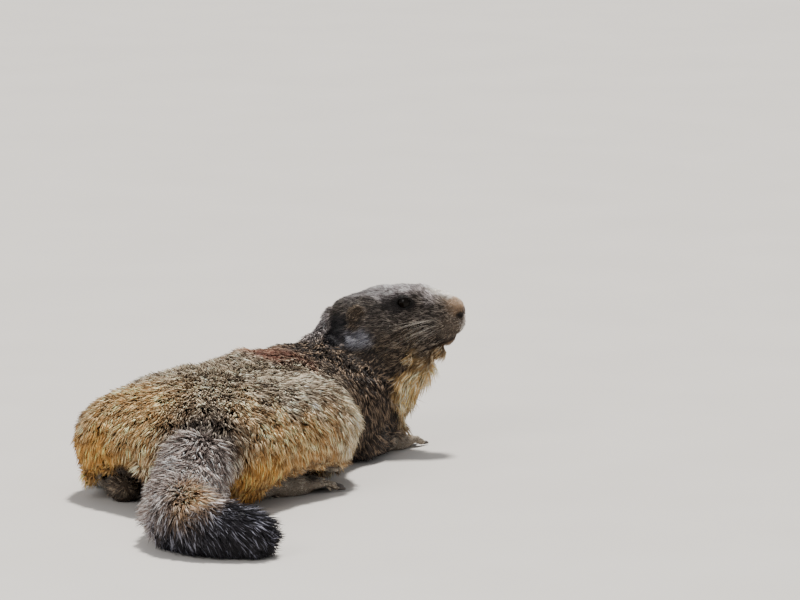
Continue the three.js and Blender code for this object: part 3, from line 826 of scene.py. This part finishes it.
MOST_FACES = 195000  # triangles in a piece of coat
TUFT_FACES = {False: 10, True: 4}  # triangles in a long and in a short tuft
guard_hair = hair_finish()
body_nodes = FLESH + TAIL_NODES
node_corners = [columns(frame["nodes"][name].data.vertices, "co") / MM for name in body_nodes]
corner_nodes = np.repeat(np.arange(len(body_nodes)), [len(corners) for corners in node_corners])
slots = {part["node"]: part["material_slot"] for part in frame["record"]["subparts"]}
for short, count, kind in ((False, LONG_TUFTS, "coat"), (True, SHORT_TUFTS, "down")):
    roots, normals, flat_places = sow(skin.data, count, short)
    rows = coats_at(roots)
    leaders = draw.choice(count, int(count * LOCK_SHARE), replace=False)
    leader = leaders[nearest_of(roots, roots[leaders])]
    bends, tips = grow_tufts(roots, normals, rows, leader)
    widths = rows[:, WIDTH, None] * draw.uniform(0.7, 1.25, (count, 1))
    shapes = tuft_points(roots, bends, tips, normals, widths, short)
    colours = tuft_colours(rows, roots, leader, short)
    owner = corner_nodes[nearest_of(roots, np.vstack(node_corners))]
    most = MOST_FACES // TUFT_FACES[short]
    for index, name in enumerate(body_nodes):
        own = np.flatnonzero(owner == index)
        if not len(own):
            continue
        own = own[np.argsort(roots[own, 0], kind="stable")]
        for number, part in enumerate(np.array_split(own, math.ceil(len(own) / most))):
            label = f"{kind}_{name}" + (f"_{number + 1}" if len(own) > most else "")
            mesh = tuft_mesh(label, shapes[part], colours[part], flat_places[part], short)
            mesh.materials.append(guard_hair)
            new_piece(label, mesh, slots[name])


# Eyes: dark wet balls in the sides of the head, with a brown iris so dark that it can't be told from the
# pupil. Each is a whole ball, set deep between the lids of the skin around it.

EYE_RADIUS = 6.0


def eye_finish():
    made, tree, shader = material("eye", 0.04, 0.03)
    shader["Coat Roughness"].default_value = 0.02
    shader["Coat Weight"].default_value = 0.15
    depths = noise(tree, 300, 3)
    brown = {"Factor": depths, 6: (0.002, 0.0015, 0.001, 1), 7: (0.006, 0.004, 0.003, 1)}
    mixed = node(tree, "ShaderNodeMix", {"data_type": "RGBA"}, brown, output=2)
    link(shader["Base Color"], mixed)
    return made


eye_material = eye_finish()
for name in ("eye_left", "eye_right"):
    low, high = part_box(name)
    ball = bmesh.new()
    place = Matrix.Translation((low + high) / 2)
    bmesh.ops.create_icosphere(ball, subdivisions=5, radius=EYE_RADIUS * MM, matrix=place)
    mesh = bpy.data.meshes.new(name + "_ball")
    ball.to_mesh(mesh)
    ball.free()
    mesh.materials.append(eye_material)
    new_piece(name + "_ball", mesh, "eye_dark", name)


# Nose: a bare pad of moist pebbled skin at the tip of the muzzle, with a nostril on each side painted on
# as a spot of shade. It is moulded on its solid and rounded off, and grows out of the short fur around it.

# The nostrils are painted shade: the pad is darkened round each of these places.
NOSTRIL_PLACE = (57, 4.8, 2.4)  # forward, to the side and up, on the head
NOSTRIL_DARK = 1.8  # millimetres from its middle to which it is dark
NOSTRIL_SIZE = 3.0  # and to where the pad is brown again

def nose_finish():
    made, tree, shader = material("nose_skin", 0.45, 0.45)
    pebbles = node(
        tree, "ShaderNodeTexVoronoi", {}, {
            "Vector": node(tree, "ShaderNodeTexCoord", output="Object"), "Scale": 1500.0,
        }, output="Distance",
    )
    blotch = noise(tree, 260, 3)
    tones = {"Factor": blotch, 6: (0.040, 0.026, 0.020, 1), 7: (0.15, 0.10, 0.072, 1)}
    mixed = node(tree, "ShaderNodeMix", {"data_type": "RGBA"}, tones, output=2)
    markings = node(tree, "ShaderNodeAttribute", {"attribute_name": "markings"}, output="Color")
    inputs = {"Factor": 1.0, 6: mixed, 7: markings}
    kinds = {"data_type": "RGBA", "blend_type": "MULTIPLY"}
    link(shader["Base Color"], node(tree, "ShaderNodeMix", kinds, inputs, output=2))
    link(shader["Roughness"], 0.35 + blotch * 0.3)
    inputs = {"Height": pebbles, "Strength": 0.5, "Distance": 0.0003}
    link(shader["Normal"], node(tree, "ShaderNodeBump", {}, inputs))
    return made


nose_mesh = with_modifiers(
    "nose_pad",
    merged_copy("nose"),
    ("REMESH", {"mode": "VOXEL", "voxel_size": 0.45 * MM}),
    ("SMOOTH", {"factor": 0.5, "iterations": 4}),
)
pad_places = columns(nose_mesh.vertices, "co") / MM
ahead, aside, above = NOSTRIL_PLACE
middles = [on_head(ahead, side * aside, above) for side in (1, -1)]
gaps = [np.linalg.norm(pad_places - middle, axis=1) for middle in middles]
# Painted shade: the pad is darkened round each nostril, where the opening lies in shade
lit = np.clip((np.minimum(*gaps) - NOSTRIL_DARK) / (NOSTRIL_SIZE - NOSTRIL_DARK), 0.03, 1)
painted(nose_mesh, np.repeat(lit[:, None], 3, axis=1))
nose_mesh.materials.clear()
nose_mesh.materials.append(nose_finish())
new_piece("nose_pad", nose_mesh, "nose_skin", "nose")


# Whiskers: long pale stiff hairs of horn-like stuff that grow in rows from each side of the muzzle, and
# sweep back over the cheek. Each is a fine tube drawn out along a bend to a point.

WHISKER_ROWS = 3
WHISKERS_A_ROW = 7
WHISKER_STEPS = 9  # rings from root to tip


def whisker(hair, root, bend, tip, thick):
    """A thin tube of four sides along a bend, drawn out to a point."""
    along = np.linspace(0, 1, WHISKER_STEPS)
    path = [(1 - t) ** 2 * root + 2 * t * (1 - t) * bend + t * t * tip for t in along]
    taper = WHISKER_STEPS - 0.7
    ring = bmesh.ops.create_circle(hair, cap_ends=True, radius=thick * MM, segments=4)["verts"]
    ahead = Vector(path[1] - path[0]).to_track_quat("Z", "Y").to_matrix().to_4x4()
    bmesh.ops.transform(hair, matrix=Matrix.Translation(Vector(path[0]) * MM) @ ahead, verts=ring)
    end = ring[0].link_faces[0]
    for i in range(1, WHISKER_STEPS):
        grown = bmesh.ops.extrude_face_region(hair, geom=[end])["geom"]
        fresh = [part for part in grown if isinstance(part, bmesh.types.BMVert)]
        bmesh.ops.delete(hair, geom=[end], context="FACES_ONLY")
        end = next(part for part in grown if isinstance(part, bmesh.types.BMFace))
        middle = sum((vertex.co for vertex in fresh), Vector()) / len(fresh)
        bmesh.ops.translate(hair, verts=fresh, vec=Vector(path[i]) * MM - middle)
        shrink = (1 - i / taper) / (1 - (i - 1) / taper)
        around = Matrix.Translation(-Vector(path[i]) * MM)
        bmesh.ops.scale(hair, verts=fresh, vec=(shrink, shrink, shrink), space=around)


def whiskers():
    hair = bmesh.new()
    for side in (1, -1):
        for row in range(WHISKER_ROWS):
            for i in range(WHISKERS_A_ROW):
                reach = draw.uniform(22, 40)
                f, u = 44 - 3.4 * i, 0.5 - 4.2 * row - 0.4 * i
                root = on_head(f, side * (11 + i * 0.9), u)
                drop = 1 + 5 * row + draw.uniform(0, 11)
                bend = on_head(f - reach * 0.35, side * (21 + i + draw.uniform(0, 5)), u - drop * 0.2)
                tip = on_head(f - reach, side * (30 + draw.uniform(0, 7)), u - drop)
                whisker(hair, root, bend, tip, draw.uniform(0.07, 0.13))
    bmesh.ops.recalc_face_normals(hair, faces=hair.faces)
    mesh = bpy.data.meshes.new("whiskers")
    hair.to_mesh(mesh)
    hair.free()
    return mesh


def whisker_finish():
    made, tree, shader = material("whisker", 0.35, 0.5)
    along = noise(tree, 120, 2)
    tones = {"Factor": along, 6: (0.12, 0.10, 0.08, 1), 7: (0.75, 0.68, 0.58, 1)}
    link(shader["Base Color"], node(tree, "ShaderNodeMix", {"data_type": "RGBA"}, tones, output=2))
    return made


whisker_mesh = whiskers()
whisker_mesh.materials.append(whisker_finish())
new_piece("whiskers", whisker_mesh, "face_coat")


# Claws: dark horn, one from the end of each toe, curved and worn blunt by digging. Each is the solid's
# own claw, a little fuller and rounded off, with its root in the toe.


def claw_finish():
    made, tree, shader = material("claw_horn", 0.35, 0.5)
    streaks = noise(tree, 500, 3, stretch=(1, 1, 4))
    horn = {"Factor": streaks, 6: (0.018, 0.014, 0.012, 1), 7: (0.085, 0.066, 0.052, 1)}
    mixed = node(tree, "ShaderNodeMix", {"data_type": "RGBA"}, horn, output=2)
    link(shader["Base Color"], mixed)
    link(shader["Roughness"], 0.25 + streaks * 0.3)
    return made


claw_material = claw_finish()
for name in [name for name in frame["nodes"] if "claw" in name]:
    mesh = with_modifiers(
        name + "_horn",
        merged_copy(name, 0.15 * MM),
        ("SUBSURF", {"levels": 2, "render_levels": 2}),
    )
    mesh.materials.clear()
    mesh.materials.append(claw_material)
    new_piece(name + "_horn", mesh, "claw_horn", name)


# Studio: a pale floor, a high sun, and a soft lamp that lightens the side towards the camera. The camera
# looks from the photo's point of view, from behind and a little above.

PIXEL = 0.75  # millimetres that one pixel of the photo covers at the animal
CAMERA_RISE = math.radians(9)
CAMERA_AWAY = 5.0
FLOOR_POINT = Vector((-0.150, 0, 0))
FLOOR_PIXEL = (205, 509.6)  # where the photo shows that point
IMAGE = (800, 600)


def make_camera():
    ahead = Vector((math.cos(CAMERA_RISE), 0, -math.sin(CAMERA_RISE)))
    right = Vector((0, -1, 0))
    up = right.cross(ahead)
    aside = (IMAGE[0] / 2 - FLOOR_PIXEL[0]) * PIXEL * MM
    above = (FLOOR_PIXEL[1] - IMAGE[1] / 2) * PIXEL * MM
    middle = FLOOR_POINT + right * aside + up * above + ahead * 0.15
    camera = bpy.data.objects.new("camera", bpy.data.cameras.new("camera"))
    bpy.context.scene.collection.objects.link(camera)
    camera.location = middle - ahead * CAMERA_AWAY
    camera.rotation_mode = "QUATERNION"
    camera.rotation_quaternion = ahead.to_track_quat("-Z", "Y")
    camera.data.sensor_width = 36
    camera.data.lens = 36 * CAMERA_AWAY / (IMAGE[0] * PIXEL * MM)
    camera.data.clip_end = 100
    bpy.context.scene.camera = camera


def make_floor():
    sheet = bmesh.new()
    bmesh.ops.create_grid(sheet, x_segments=2, y_segments=2, size=6)
    mesh = bpy.data.meshes.new("floor")
    sheet.to_mesh(mesh)
    sheet.free()
    floor = bpy.data.objects.new("floor", mesh)
    bpy.context.scene.collection.objects.link(floor)
    made, tree, shader = material("pale_floor", 0.8, 0.2)
    fine = noise(tree, 8, 2)
    tones = {"Factor": fine, 6: (0.48, 0.46, 0.435, 1), 7: (0.53, 0.51, 0.485, 1)}
    link(shader["Base Color"], node(tree, "ShaderNodeMix", {"data_type": "RGBA"}, tones, output=2))
    mesh.materials.append(made)


def make_light(name, place, target, size, power, colour):
    lamp = bpy.data.lights.new(name, "AREA")
    lamp.size = size
    lamp.energy = power
    lamp.color = colour
    light = bpy.data.objects.new(name, lamp)
    bpy.context.scene.collection.objects.link(light)
    light.location = place
    light.rotation_mode = "QUATERNION"
    light.rotation_quaternion = (Vector(target) - Vector(place)).to_track_quat("-Z", "Y")


def make_sun(toward, energy, spread):
    lamp = bpy.data.lights.new("sun", "SUN")
    lamp.energy = energy
    lamp.angle = math.radians(spread)
    lamp.color = (1.0, 0.965, 0.91)
    light = bpy.data.objects.new("sun", lamp)
    bpy.context.scene.collection.objects.link(light)
    light.rotation_mode = "QUATERNION"
    light.rotation_quaternion = Vector(toward).to_track_quat("-Z", "Y")


make_camera()
make_floor()
make_sun(toward=(-0.22, 0.10, -1.0), energy=6.8, spread=7)
make_light("fill", (-2.0, 1.2, 1.5), (0, -0.02, 0.05), size=1.2, power=32, colour=(1.0, 0.985, 0.96))
world = bpy.data.worlds.new("studio")
world.use_nodes = True
world.node_tree.nodes["Background"].inputs["Color"].default_value = (0.97, 0.975, 1.0, 1)
world.node_tree.nodes["Background"].inputs["Strength"].default_value = 0.62
bpy.context.scene.world = world
